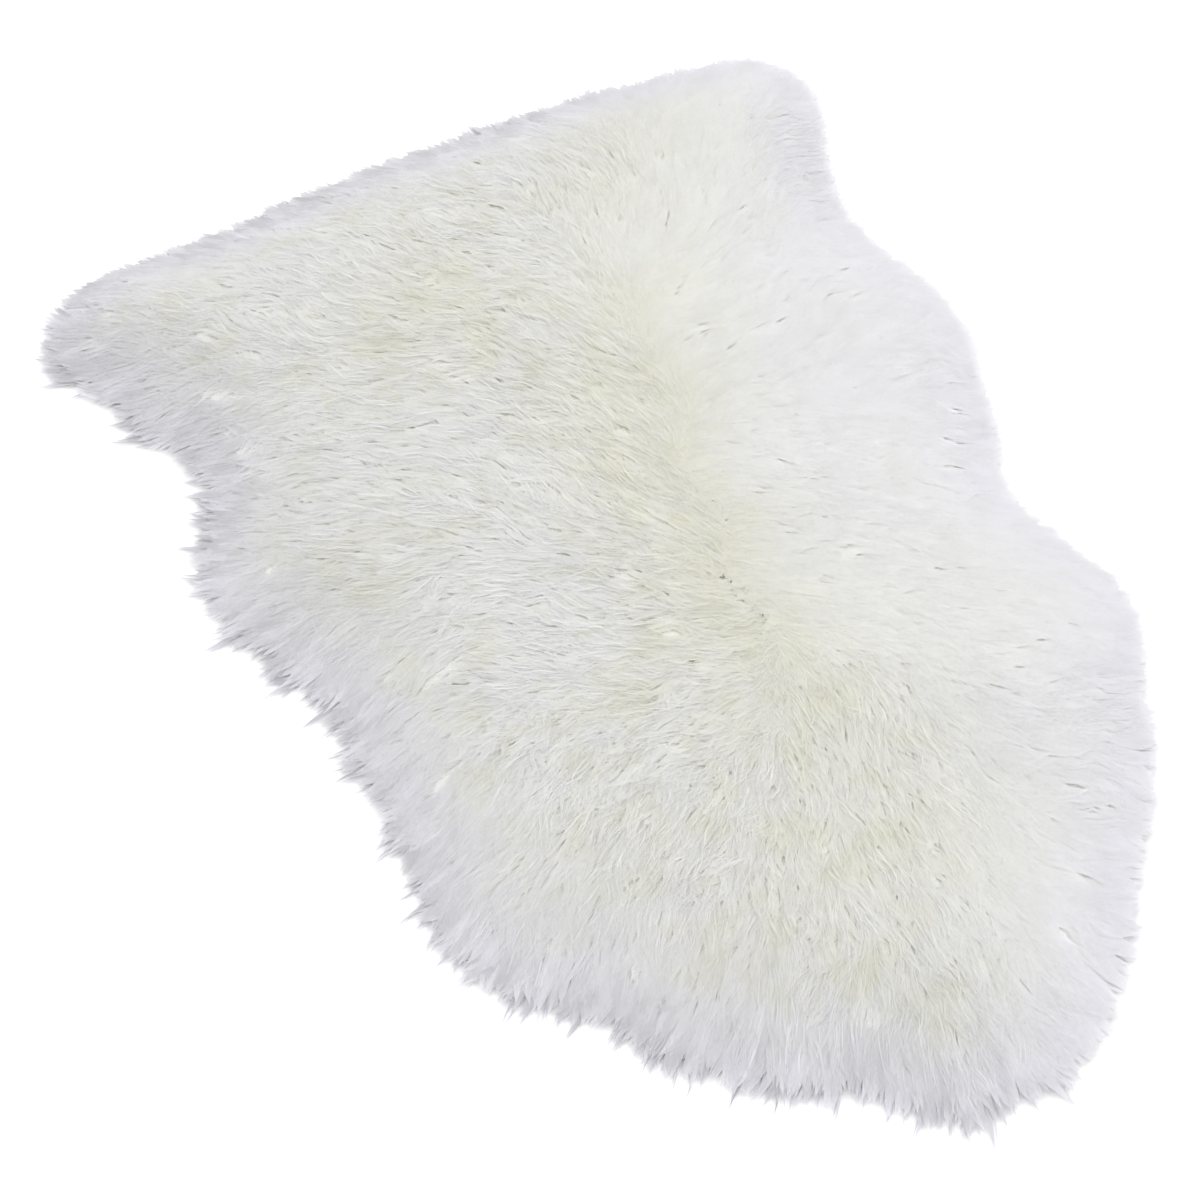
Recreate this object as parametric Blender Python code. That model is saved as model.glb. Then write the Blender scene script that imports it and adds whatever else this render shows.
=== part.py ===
"""A sheepskin rug: one tanned skin lying flat on a floor, wool side up.

Metres, +Z up.  The animal's back runs along Y, with the skin's wide end at +Y.
The origin is the middle of the underside, which is flat and rests on the floor.

The skin and its wool are one closed solid: a lumpy slab of wool that comes down
to the floor all round in pointed locks.  Its top is a net of triangles over the
skin's outline, and its underside is the same outline, flat on the floor.
"""
import math
import random
from collections import namedtuple

import bpy
from mathutils import Matrix, Vector, noise
from mathutils.geometry import delaunay_2d_cdt

# ---------------------------------------------------------------- sizes
LOFT = 0.043            # height of the wool over the middle of the skin
RIM_RISE = 0.014        # height of a rim lock where it leaves the slab
SHOULDER = 0.075        # width of the band in which the slab rises to its loft

LOCKS = 276             # pointed locks around the rim
ROOT_SHARE = 0.24       # the notches lie this share of a lock's reach inside the rim's line
TIP_SHARE = 0.72        # and the tips this share outside it
LOCK_LEAN = 0.45        # how far the locks turn from straight out to the lie of the wool
LOCK_TURN = 0.09        # how far one lock's heading differs from that, in radians
LOCK_SCATTER = 0.55     # how much one lock's length differs from its neighbour's
LOCK_WAVE = 0.90        # how much their length swells and shrinks along the rim
LOCK_WAVES = 9.0        # how often it does so along the rim, times six or so
LOCK_SHIFT = 0.24       # how far a notch is out of its even place, as a share of the pitch
LOCK_BELLY = 0.0011     # how far a lock's sides curve outward
LOCK_SIDE = 0.55        # where they do, as a share of the way from the notch to the tip
NOTCH_DEPTH = 0.0090    # how much deeper than the shallowest the deepest notches are
SHELF = 0.009           # from a notch to the slab's first corner behind it

TUFT_PITCH = 0.0275     # from one tuft of wool to the next
TUFT_SHIFT = 0.32       # how far a tuft is out of its even place, as a share of the pitch
TUFT_LIFT = (0.0038, 0.0098)  # least and greatest height of a tuft's tip above the slab
TUFT_DROP = 0.0035      # depth of the gap in front of a tuft's tip
TUFT_CLEAR = 0.020      # a tuft's middle keeps this far inside the slab's edge
HALF_LENGTH = 0.55      # tufts are laid out over a field this big each way from the middle
HALF_WIDTH = 0.40
NEAREST = 0.0055        # no two corners of the net lie closer than this, seen from above

SWELL = 0.011           # height of the wool's broad swells
SWELL_LENGTH = 0.16     # length of those swells
PARTING_DIP = 0.007     # how far the wool sinks where it parts
PARTING_WIDTH = 0.035   # half the width of that trough

SEED = 11

# The line halfway along the rim's locks, clockwise from the wide end, and how far
# a lock reaches there from its root to its tip.
Station = namedtuple("Station", "place x y reach")
EDGE = (
    Station("wide end, right corner", 0.300, 0.424, 0.016),
    Station("right corner, outermost", 0.325, 0.401, 0.014),
    Station("right flank", 0.307, 0.327, 0.014),
    Station("right flank, drawn in", 0.277, 0.243, 0.014),
    Station("right side, upper swell", 0.302, 0.149, 0.014),
    Station("right side, below the swell", 0.303, 0.079, 0.014),
    Station("right side, coming in", 0.272, 0.001, 0.014),
    Station("right waist", 0.250, -0.060, 0.014),
    Station("right side, lower swell", 0.265, -0.138, 0.015),
    Station("right side, below the lower swell", 0.277, -0.207, 0.016),
    Station("right, towards the narrow end", 0.238, -0.266, 0.018),
    Station("right, still narrowing", 0.204, -0.334, 0.020),
    Station("narrow end, right", 0.135, -0.413, 0.024),
    Station("narrow end, right of the middle", 0.071, -0.479, 0.028),
    Station("narrow end, middle", 0.022, -0.502, 0.032),
    Station("narrow end, dip", -0.014, -0.493, 0.032),
    Station("narrow end, longest locks", -0.048, -0.485, 0.044),
    Station("narrow end, left of the middle", -0.082, -0.450, 0.034),
    Station("narrow end, left", -0.141, -0.421, 0.036),
    Station("left, towards the narrow end", -0.198, -0.363, 0.036),
    Station("left, drawn in", -0.229, -0.306, 0.034),
    Station("left side, lower swell", -0.289, -0.250, 0.034),
    Station("left side, lower swell's top", -0.283, -0.170, 0.032),
    Station("left waist", -0.278, -0.089, 0.032),
    Station("left waist's top", -0.270, -0.022, 0.036),
    Station("left side, coming out", -0.294, 0.044, 0.038),
    Station("left side, upper swell", -0.321, 0.125, 0.036),
    Station("left side, above the swell", -0.280, 0.199, 0.030),
    Station("left flank, drawn in", -0.286, 0.262, 0.030),
    Station("left flank", -0.321, 0.349, 0.030),
    Station("left corner, outermost", -0.338, 0.404, 0.024),
    Station("wide end, left corner", -0.303, 0.443, 0.020),
    Station("wide end, left", -0.205, 0.447, 0.018),
    Station("wide end, left of the middle", -0.100, 0.455, 0.018),
    Station("wide end, middle", 0.015, 0.456, 0.018),
    Station("wide end, right of the middle", 0.120, 0.452, 0.018),
    Station("wide end, right", 0.225, 0.441, 0.018),
)

# A lock's ridge: share of the way from its root to its tip, and height as a share of RIM_RISE.
Ridge = namedtuple("Ridge", "along rise")
RIDGE = (Ridge(-0.12, 1.15), Ridge(0.42, 0.60), Ridge(0.80, 0.26))

# A lock's corners on the rim come in this order: notch, near side, tip, far side.
CORNERS_PER_LOCK = 4
TIP = 2

# A tuft's corners: place along and across the lie of the wool as shares of the pitch, and
# height above the slab as shares of the tuft's lift and of its drop.
Tuft = namedtuple("Tuft", "along across lift drop")
TUFT = (
    Tuft(0.40, 0.00, 1.00, 0),
    Tuft(0.66, 0.05, 0.00, 1),
    Tuft(-0.05, 0.30, 0.25, 0),
    Tuft(0.05, -0.30, 0.25, 0),
)

# The wool parts along this line on the back, and lies away from it on all sides.
PARTING_TOP = Vector((0.100, 0.280))
PARTING_END = Vector((0.030, 0.000))

WOOL_COLOUR = (0.76, 0.755, 0.70, 1.0)
WOOL_ROUGHNESS = 0.85


# ---------------------------------------------------------------- the outline
def smooth_loop(stations, steps=24):
    """Points (x, y, reach) of a closed curve through the stations, close together."""
    rows = [Vector((one.x, one.y, one.reach)) for one in stations]
    count = len(rows)
    points = []
    for index in range(count):
        before, start, end, after = (rows[(index + k) % count] for k in (-1, 0, 1, 2))
        for step in range(steps):
            t = step / steps
            points.append(0.5 * (2 * start + (end - before) * t
                                 + (2 * before - 5 * start + 4 * end - after) * t ** 2
                                 + (3 * start - before - 3 * end + after) * t ** 3))
    return points


class EdgeLine:
    """The rim's middle line, read by the share of its length already gone."""

    def __init__(self, stations):
        self.points = smooth_loop(stations)
        self.gone = [0.0]
        for one, other in zip(self.points, self.points[1:] + self.points[:1]):
            self.gone.append(self.gone[-1] + (other - one).xy.length)

    def at(self, share):
        """Place and reach at a share of the whole length."""
        wanted = (share % 1.0) * self.gone[-1]
        low, high = 0, len(self.points)
        while high - low > 1:
            middle = (low + high) // 2
            if self.gone[middle] <= wanted:
                low = middle
            else:
                high = middle
        part = (wanted - self.gone[low]) / (self.gone[low + 1] - self.gone[low])
        found = self.points[low].lerp(self.points[(low + 1) % len(self.points)], part)
        return found.xy, found.z

    def outward(self, share):
        """Unit vector square to the line, away from the skin."""
        reach = 0.004
        along = self.at(share + reach)[0] - self.at(share - reach)[0]
        return Vector((-along.y, along.x)).normalized()


def nearest_on_parting(point):
    line = PARTING_END - PARTING_TOP
    share = (point - PARTING_TOP).dot(line) / line.length_squared
    return PARTING_TOP + line * min(max(share, 0.0), 1.0)


def lie_of_wool(point):
    """Unit vector in which the wool lies, away from the parting."""
    away = point - nearest_on_parting(point)
    return away.normalized() if away.length > 1e-6 else Vector((-1.0, 0.0))


# ---------------------------------------------------------------- the net's corners
# One corner of the net: its place seen from above, and its height.
Corner = namedtuple("Corner", "place height")


def lock_direction(line, share):
    """Which way the rim lock at this share points: outward, turned to the lie of the wool."""
    outward = line.outward(share)
    lie = lie_of_wool(line.at(share)[0])
    return (outward * (1 - LOCK_LEAN) + lie * LOCK_LEAN).normalized()


def notches_along(line, chance):
    """The shares at which the notches lie, and the places to which they are cut."""
    shares = [(index + chance.uniform(-LOCK_SHIFT, LOCK_SHIFT)) / LOCKS for index in range(LOCKS)]
    places = []
    for share in shares:
        place, reach = line.at(share)
        depth = ROOT_SHARE * reach + NOTCH_DEPTH * chance.random() ** 3
        places.append(place - line.outward(share) * depth)
    return shares, places


def rim_corners(line, shares, notches, chance):
    """The pointed locks: the rim's corners in order, and each lock's ridge."""
    rim, ridges = [], []
    for index in range(LOCKS):
        after = (index + 1) % LOCKS
        share = 0.5 * (shares[index] + shares[after] + (after == 0))
        place, reach = line.at(share)
        turn = math.tau * share
        wave = noise.noise(Vector((math.cos(turn), math.sin(turn), 0)) * LOCK_WAVES)
        scatter = chance.uniform(-LOCK_SCATTER, LOCK_SCATTER)
        length = TIP_SHARE * reach * (1 + scatter + wave * LOCK_WAVE)
        pointing = lock_direction(line, share)
        pointing.rotate(Matrix.Rotation(chance.uniform(-LOCK_TURN, LOCK_TURN), 2))
        tip = place + pointing * length
        across = Vector((-pointing.y, pointing.x)) * LOCK_BELLY
        near, far = notches[index], notches[after]
        near_side = near.lerp(tip, LOCK_SIDE) + across
        far_side = far.lerp(tip, LOCK_SIDE) - across
        rim += [Corner(place, 0) for place in (near, near_side, tip, far_side)]
        root = 0.5 * (near + far)
        ridges += [Corner(root.lerp(tip, point.along), point.rise * RIM_RISE) for point in RIDGE]
    return rim, ridges


def slab_height(place, inside):
    """Height of the slab's top at a place this far inside the notches."""
    share = min(inside / SHOULDER, 1.0)
    rise = math.sin(0.5 * math.pi * share)
    swell = noise.noise(Vector((place.x, place.y, 0)) / SWELL_LENGTH) * SWELL
    gap = (place - nearest_on_parting(place)).length / PARTING_WIDTH
    dip = PARTING_DIP * math.exp(-gap ** 2)
    return RIM_RISE + (LOFT - RIM_RISE + swell - dip) * rise


def depth_inside(place, loop):
    """How far a place lies inside a closed loop of points, or below zero outside it."""
    nearest = math.inf
    inside = False
    for one, other in zip(loop, loop[1:] + loop[:1]):
        side = other - one
        share = min(max((place - one).dot(side) / side.length_squared, 0.0), 1.0)
        nearest = min(nearest, (place - one - side * share).length)
        if (one.y > place.y) != (other.y > place.y):
            crossing = one.x + (place.y - one.y) * side.x / side.y
            inside ^= place.x < crossing
    return nearest if inside else -nearest


def ridge_edges():
    """Pairs of corners along each lock's ridge, from its root to its tip."""
    edges = []
    for lock in range(LOCKS):
        first = LOCKS * CORNERS_PER_LOCK + lock * len(RIDGE)
        ridge = list(range(first, first + len(RIDGE)))
        tip = lock * CORNERS_PER_LOCK + TIP
        edges += zip(ridge, ridge[1:] + [tip])
    return edges


def shelf_corners(notches):
    """A corner of the slab close behind each notch."""
    corners = []
    for before, notch, after in zip(notches[-1:] + notches[:-1], notches, notches[1:] + notches[:1]):
        along = (after - before).normalized()
        place = notch + Vector((along.y, -along.x)) * SHELF
        corners.append(Corner(place, slab_height(place, SHELF)))
    return corners


def tuft_corners(notches, chance):
    """Shingled tufts over the slab: a raised tip, two low shoulders and a gap before the tip."""
    corners = []
    row_step = TUFT_PITCH * math.sqrt(3) / 2
    rows = math.ceil(HALF_LENGTH / row_step)
    columns = math.ceil(HALF_WIDTH / TUFT_PITCH)
    for row in range(-rows, rows + 1):
        for column in range(-columns, columns + 1):
            even = Vector(((column + 0.5 * (row % 2)) * TUFT_PITCH, row * row_step))
            shift = Vector((chance.uniform(-1, 1), chance.uniform(-1, 1))) * TUFT_SHIFT
            centre = even + shift * TUFT_PITCH
            lift = chance.uniform(*TUFT_LIFT)
            if depth_inside(centre, notches) < TUFT_CLEAR:
                continue
            along = lie_of_wool(centre)
            across = Vector((-along.y, along.x))
            for point in TUFT:
                place = centre + (along * point.along + across * point.across) * TUFT_PITCH
                depth = depth_inside(place, notches)
                if depth > 0.6 * TUFT_CLEAR:
                    rise = point.lift * lift - point.drop * TUFT_DROP
                    corners.append(Corner(place, slab_height(place, depth) + rise))
    return corners


def spread_out(kept, offered):
    """Adds each offered corner that keeps its distance from all the others."""
    for corner in offered:
        if all((corner.place - other.place).length > NEAREST for other in kept):
            kept.append(corner)
    return kept


# ---------------------------------------------------------------- the solid
def net_of(corners, edges):
    """Triangles through all the corners, inside the loop that the edges close."""
    places = [corner.place for corner in corners]
    made = delaunay_2d_cdt(places, edges, [], 1, 1e-7)
    if any(len(origins) != 1 for origins in made[3]):
        raise ValueError("two corners meet, or two rim locks cross")
    triangles = []
    for face in made[2]:
        a, b, c = (made[3][index][0] for index in face)
        turn = (places[b] - places[a]).cross(places[c] - places[a])
        triangles.append((a, b, c) if turn > 0 else (a, c, b))
    return triangles


def sheepskin_mesh():
    chance = random.Random(SEED)
    line = EdgeLine(EDGE)
    shares, notches = notches_along(line, chance)
    rim, ridges = rim_corners(line, shares, notches, chance)
    slab = shelf_corners(notches) + tuft_corners(notches, chance)
    corners = rim + spread_out(ridges, slab)
    rim_edges = [(index, (index + 1) % len(rim)) for index in range(len(rim))]
    top = net_of(corners, rim_edges + ridge_edges())
    underside = net_of(rim, rim_edges)

    low = Vector((min(one.place.x for one in rim), min(one.place.y for one in rim)))
    high = Vector((max(one.place.x for one in rim), max(one.place.y for one in rim)))
    middle = 0.5 * (low + high)
    points = [(*(one.place - middle), one.height) for one in corners]
    faces = top + [(a, c, b) for a, b, c in underside]

    mesh = bpy.data.meshes.new("sheepskin")
    mesh.from_pydata(points, [], faces)
    mesh.update()
    return mesh


def wool_material():
    material = bpy.data.materials.new("wool")
    material.use_nodes = True
    surface = material.node_tree.nodes["Principled BSDF"]
    surface.inputs["Base Color"].default_value = WOOL_COLOUR
    surface.inputs["Roughness"].default_value = WOOL_ROUGHNESS
    surface.inputs["Metallic"].default_value = 0.0
    return material


def clear_scene():
    for old in list(bpy.data.objects):
        bpy.data.objects.remove(old, do_unlink=True)


def build():
    clear_scene()
    mesh = sheepskin_mesh()
    mesh.materials.append(wool_material())
    rug = bpy.data.objects.new("sheepskin", mesh)
    bpy.context.scene.collection.objects.link(rug)


build()
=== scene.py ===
"""The sheepskin rug's looks: suede, underwool and combed locks that follow the solid.

Metres, +Z up, in the solid's frame: the animal's back runs along Y, the wide end is
at +Y, and the floor is at z = 0.  The rim, the locks' reach there and the loft are
read from the solid, so the wool follows its form.
"""
import math

import bpy
import numpy as np
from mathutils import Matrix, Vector
from mathutils.bvhtree import BVHTree
from mathutils.geometry import delaunay_2d_cdt


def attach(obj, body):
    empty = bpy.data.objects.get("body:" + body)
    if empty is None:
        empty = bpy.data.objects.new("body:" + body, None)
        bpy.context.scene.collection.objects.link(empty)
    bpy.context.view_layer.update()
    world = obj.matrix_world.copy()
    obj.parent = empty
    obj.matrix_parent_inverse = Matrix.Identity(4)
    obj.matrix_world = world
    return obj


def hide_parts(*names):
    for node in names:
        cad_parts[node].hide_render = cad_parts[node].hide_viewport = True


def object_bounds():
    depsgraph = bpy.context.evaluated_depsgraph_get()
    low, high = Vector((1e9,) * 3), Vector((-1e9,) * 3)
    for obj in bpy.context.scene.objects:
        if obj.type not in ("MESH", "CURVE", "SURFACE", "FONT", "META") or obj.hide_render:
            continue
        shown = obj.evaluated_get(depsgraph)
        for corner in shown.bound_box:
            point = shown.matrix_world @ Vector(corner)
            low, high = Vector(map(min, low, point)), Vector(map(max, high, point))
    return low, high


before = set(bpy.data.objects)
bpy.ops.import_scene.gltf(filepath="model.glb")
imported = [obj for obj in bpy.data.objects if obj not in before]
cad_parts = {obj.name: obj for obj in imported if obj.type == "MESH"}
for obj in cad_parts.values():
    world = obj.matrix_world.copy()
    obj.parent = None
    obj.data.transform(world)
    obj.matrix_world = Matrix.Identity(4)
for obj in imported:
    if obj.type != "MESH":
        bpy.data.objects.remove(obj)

cad_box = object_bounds()
NODE = "sheepskin"
rng = np.random.default_rng(7)

# ---- camera
CAMERA_AZIMUTH = math.radians(-27.0)  # the wide end points up and to the right
CAMERA_ELEVATION = math.radians(54.0)
CAMERA_FIELD = math.radians(20.0)
CAMERA_DISTANCE = 2.5336
CAMERA_TARGET = Vector((-0.0508, 0.0228, 0.0))
SENSOR_WIDTH = 36.0             # in millimetres
NEAREST, FURTHEST = 0.05, 50.0  # that the camera sees


def new_object(name, data):
    """An object with this data, in the scene."""
    made = bpy.data.objects.new(name, data)
    bpy.context.scene.collection.objects.link(made)
    return made


def make_camera():
    data = bpy.data.cameras.new("camera")
    data.sensor_width = SENSOR_WIDTH
    data.lens = 0.5 * SENSOR_WIDTH / math.tan(0.5 * CAMERA_FIELD)
    data.clip_start = NEAREST
    data.clip_end = FURTHEST
    camera = new_object("camera", data)
    flat = math.cos(CAMERA_ELEVATION)
    back = Vector((math.sin(CAMERA_AZIMUTH) * flat, -math.cos(CAMERA_AZIMUTH) * flat,
                   math.sin(CAMERA_ELEVATION)))
    camera.location = CAMERA_TARGET + back * CAMERA_DISTANCE
    camera.rotation_mode = "QUATERNION"
    camera.rotation_quaternion = (-back).to_track_quat("-Z", "Y")
    bpy.context.scene.camera = camera


# ---- the solid, read
def solid_mesh():
    """The solid's places and triangles, with places that coincide made one."""
    source = bpy.data.objects[NODE]
    mesh = source.data
    mesh.calc_loop_triangles()
    places = np.empty(len(mesh.vertices) * 3)
    mesh.vertices.foreach_get("co", places)
    places = places.reshape(-1, 3)
    matrix = np.array(source.matrix_world)
    places = places @ matrix[:3, :3].T + matrix[:3, 3]
    faces = np.empty(len(mesh.loop_triangles) * 3, np.int64)
    mesh.loop_triangles.foreach_get("vertices", faces)
    micrometres = np.round(places * 1e6).astype(np.int64)
    _, first, joined = np.unique(micrometres, axis=0, return_index=True, return_inverse=True)
    return places[first], joined.reshape(-1)[faces].reshape(-1, 3)


def rim_loop(places, faces):
    """The underside's border, as places in their order round the rim."""
    under = faces[(places[faces][:, :, 2] < 1e-5).all(1)]
    edges = np.vstack((under[:, [0, 1]], under[:, [1, 2]], under[:, [2, 0]]))
    known = set(map(tuple, edges))
    after = {a: b for a, b in known if (b, a) not in known}
    start = next(iter(after))
    loop = [start]
    while after[loop[-1]] != start:
        loop.append(after[loop[-1]])
    return places[loop][:, :2]


def even_steps(loop, count):
    """A closed loop read again at even steps of its length."""
    closed = np.vstack((loop, loop[:1]))
    gone = np.concatenate(([0], np.cumsum(np.linalg.norm(np.diff(closed, axis=0), axis=1))))
    wanted = np.linspace(0, gone[-1], count, endpoint=False)
    return np.stack([np.interp(wanted, gone, closed[:, k]) for k in (0, 1)], 1)


def bell_curve(spread, reach):
    """Weights that add up to 1, for the steps from -reach to reach."""
    bell = np.exp(-0.5 * (np.arange(-reach, reach + 1) / spread) ** 2)
    return bell / bell.sum()


def smooth_ring(values, spread):
    """Values round a ring, each averaged with its neighbours by a bell curve."""
    reach = int(4 * spread)
    return sum(share * np.roll(values, reach - k, axis=0)
               for k, share in enumerate(bell_curve(spread, reach)))


# ---- maps over the floor
class Grid:
    """Values on an even grid over the rug, read in between by blending."""

    STEP = 0.004
    MARGIN = 0.060

    def __init__(self):
        low, high = cad_box
        self.low = np.array([low.x, low.y]) - self.MARGIN
        size = np.array([high.x, high.y]) + self.MARGIN - self.low
        self.shape = tuple(np.ceil(size / self.STEP).astype(int) + 1)
        x = self.low[0] + np.arange(self.shape[0]) * self.STEP
        y = self.low[1] + np.arange(self.shape[1]) * self.STEP
        self.places = np.stack(np.meshgrid(x, y, indexing="ij"), -1)

    def read(self, values, places):
        """values (nx, ny, ...) at places (..., 2)."""
        at = (places - self.low) / self.STEP
        at = np.clip(at, 0, np.array(self.shape) - 1.001)
        cell = at.astype(int)
        part = at - cell
        i, j = cell[..., 0], cell[..., 1]
        u, v = part[..., 0], part[..., 1]
        if values.ndim == 3:
            u, v = u[..., None], v[..., None]
        return ((values[i, j] * (1 - u) + values[i + 1, j] * u) * (1 - v)
                + (values[i, j + 1] * (1 - u) + values[i + 1, j + 1] * u) * v)


def smooth_grid(values, spread):
    """A grid averaged with a bell curve of this spread, in cells."""
    reach = int(3 * spread) + 1
    bell = bell_curve(spread, reach)
    for axis in (0, 1):
        pad = [(0, 0)] * values.ndim
        pad[axis] = (reach, reach)
        wide = np.pad(values, pad, mode="edge")
        cells = np.arange(values.shape[axis])
        values = sum(share * np.take(wide, cells + k, axis=axis) for k, share in enumerate(bell))
    return values


def smooth_noise(grid, size, seed):
    """Smooth random values about 0, near -1 to 1, with lumps of this size in metres."""
    source = np.random.default_rng(seed)
    spread = 0.4 * size / grid.STEP
    values = smooth_grid(source.standard_normal(grid.shape), spread)
    return values / (2 * values.std())


class Rim:
    """The rim's middle line, how far its locks reach there, and how far places lie inside it."""

    COUNT = 552       # points on the middle line
    FINER = 4         # times as many on the loop that it is averaged from
    LINE_SPREAD = 10  # points of that loop, over which it is averaged
    REACH_SPREAD = 9  # points of the line, over which the reach is averaged
    REACH = 3.2       # the locks' reach, in standard deviations of the solid's border
    BATCH = 8192      # places measured at once

    def __init__(self, places, faces):
        corners = rim_loop(places, faces)
        if np.cross(corners, np.roll(corners, -1, 0)).sum() < 0:
            corners = corners[::-1]
        loop = even_steps(corners, self.FINER * self.COUNT)
        self.line = even_steps(smooth_ring(loop, self.LINE_SPREAD), self.COUNT)
        along = np.roll(self.line, -1, 0) - np.roll(self.line, 1, 0)
        along /= np.linalg.norm(along, axis=1, keepdims=True)
        self.outward = np.stack((along[:, 1], -along[:, 0]), 1)
        self.length = np.linalg.norm(np.roll(self.line, -1, 0) - self.line, axis=1).sum()
        stand, nearest = self.stand(loop)
        swing = np.array([np.std(stand[nearest == k]) if (nearest == k).sum() > 1 else np.nan
                          for k in range(self.COUNT)])
        known = np.flatnonzero(~np.isnan(swing))
        swing = np.interp(np.arange(self.COUNT), known, swing[known])
        self.reach = smooth_ring(swing, self.REACH_SPREAD) * self.REACH
        self.tips, self.tip_at = self.solid_tips(corners)

    def stand(self, places):
        """How far outside the line these places stand, and their nearest points' numbers."""
        nearest = np.linalg.norm(places[:, None] - self.line[None], axis=2).argmin(1)
        return ((places - self.line[nearest]) * self.outward[nearest]).sum(1), nearest

    def solid_tips(self, corners):
        """The tips of the solid's locks in their order, and the line's point nearest to each."""
        stand, nearest = self.stand(corners)
        out = np.ones(len(corners), bool)
        for step in (-2, -1, 1, 2):
            out &= stand > np.roll(stand, step)
        return corners[out], nearest[out]

    def depth(self, places):
        """How far inside the line places lie, and their nearest points' numbers."""
        flat = places.reshape(-1, 2)
        depth = np.empty(len(flat))
        nearest = np.empty(len(flat), int)
        for start in range(0, len(flat), self.BATCH):
            batch = slice(start, start + self.BATCH)
            apart = flat[batch, None] - self.line[None]
            squares = (apart ** 2).sum(2)
            best = squares.argmin(1)
            rows = np.arange(len(best))
            inward = -(apart[rows, best] * self.outward[best]).sum(1)
            far = np.sqrt(squares[rows, best])
            # the plain distance is truer beside a sharp corner
            depth[batch] = np.where(np.abs(inward) < 0.5 * far, np.sign(inward) * far, inward)
            nearest[batch] = best
        return depth.reshape(places.shape[:-1]), nearest.reshape(places.shape[:-1])


# Which way the wool lies, read off the photograph, by how flat it lies, from 0 upright
# to 1 along the floor: x, y and heading in degrees anticlockwise from +X.
FLOW = {
    0.9: (
        (-0.30, 0.40, 136), (-0.27, 0.33, 155), (0.30, 0.37, 20), (-0.24, 0.26, 139),
        (0.28, 0.23, 6), (-0.28, 0.16, 145), (-0.30, 0.12, 174), (-0.26, 0.09, 165),
        (0.27, 0.09, 351), (-0.25, 0.01, 193), (-0.25, -0.06, 189), (-0.26, -0.16, 213),
        (-0.22, -0.23, 208), (0.24, -0.24, 1), (-0.23, -0.28, 223), (-0.19, -0.28, 210),
        (-0.16, -0.34, 220), (0.15, -0.36, 334), (-0.08, -0.40, 226), (0.09, -0.43, 309),
    ),
    0.8: (
        (-0.26, 0.41, 121), (-0.12, 0.41, 123), (-0.03, 0.42, 125), (0.12, 0.42, 117),
        (0.18, 0.41, 81), (0.23, 0.40, 50), (-0.23, 0.36, 139), (-0.18, 0.37, 132),
        (-0.09, 0.37, 122), (-0.00, 0.35, 135), (0.03, 0.33, 137), (0.11, 0.37, 93),
        (0.20, 0.35, 56), (0.23, 0.31, 25), (-0.19, 0.26, 162), (-0.10, 0.27, 146),
        (0.15, 0.23, 38), (0.19, 0.25, 5), (-0.14, 0.18, 141), (0.02, 0.22, 123),
        (0.12, 0.19, 356), (-0.22, 0.17, 142), (-0.06, 0.17, 137), (-0.00, 0.13, 115),
        (-0.22, 0.10, 153), (-0.05, 0.12, 103), (-0.18, 0.04, 182), (-0.09, 0.04, 150),
        (0.01, 0.03, 127), (0.09, 0.06, 328), (-0.16, -0.03, 148), (-0.08, -0.05, 145),
        (-0.04, -0.04, 135), (-0.02, -0.06, 150), (0.07, -0.03, 326), (0.22, -0.03, 345),
        (-0.20, -0.08, 190), (0.09, -0.10, 330), (-0.22, -0.16, 195), (-0.17, -0.15, 208),
        (-0.05, -0.13, 174), (0.05, -0.17, 261), (0.19, -0.15, 333), (-0.07, -0.22, 212),
        (0.01, -0.22, 255), (-0.15, -0.23, 211), (0.06, -0.23, 266), (-0.10, -0.31, 225),
        (-0.06, -0.28, 242), (-0.00, -0.32, 260), (0.05, -0.30, 269), (0.16, -0.28, 321),
        (0.05, -0.36, 282), (0.00, -0.42, 260),
    ),
    0.7: (
        (0.11, 0.33, 59), (0.04, 0.19, 120),
    ),
}
FLOW_REACH = 0.035  # how far a place holds sway before the others share it


def flow_map(places):
    """The wool's lie at each place, as a vector as long as it is flat."""
    total = np.zeros(places.shape)
    weight = np.zeros(places.shape[:-1])
    for flatness, rows in FLOW.items():
        for x, y, heading in rows:
            squares = ((places - (x, y)) ** 2).sum(-1)
            share = 1 / (squares + FLOW_REACH ** 2) ** 2
            turn = math.radians(heading)
            total += share[..., None] * np.array([math.cos(turn), math.sin(turn)]) * flatness
            weight += share
    return total / weight[..., None]


# Where the wool is creamiest: a band down the back, as places, width and strength.
CREAM = (
    # x, y, width, strength
    (0.19, 0.39, 0.055, 0.7),
    (0.13, 0.31, 0.060, 0.8),
    (0.09, 0.23, 0.060, 0.9),
    (0.05, 0.16, 0.060, 1.0),
    (0.03, 0.08, 0.060, 1.0),
    (0.03, 0.00, 0.060, 1.0),
    (0.03, -0.08, 0.070, 0.9),
    (0.02, -0.17, 0.070, 0.8),
    (0.00, -0.27, 0.075, 0.7),
    (-0.05, 0.30, 0.060, 0.7),
)
CREAM_PATCH = 0.05   # the size of its uneven patches
CREAM_UNEVEN = 0.16  # and their strength


def cream_map(grid):
    """How creamy the wool is, from 0 to 1, with uneven patches."""
    total = np.zeros(grid.shape)
    for x, y, width, strength in CREAM:
        squares = ((grid.places - (x, y)) ** 2).sum(-1)
        total = np.maximum(total, strength * np.exp(-0.5 * squares / width ** 2))
    return np.clip(total + CREAM_UNEVEN * smooth_noise(grid, CREAM_PATCH, 5), 0, 1)


def shorter_than(most, vectors):
    """Vectors, those longer than this shortened to it."""
    return vectors * (most / np.maximum(most, np.linalg.norm(vectors, axis=-1, keepdims=True)))


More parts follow.
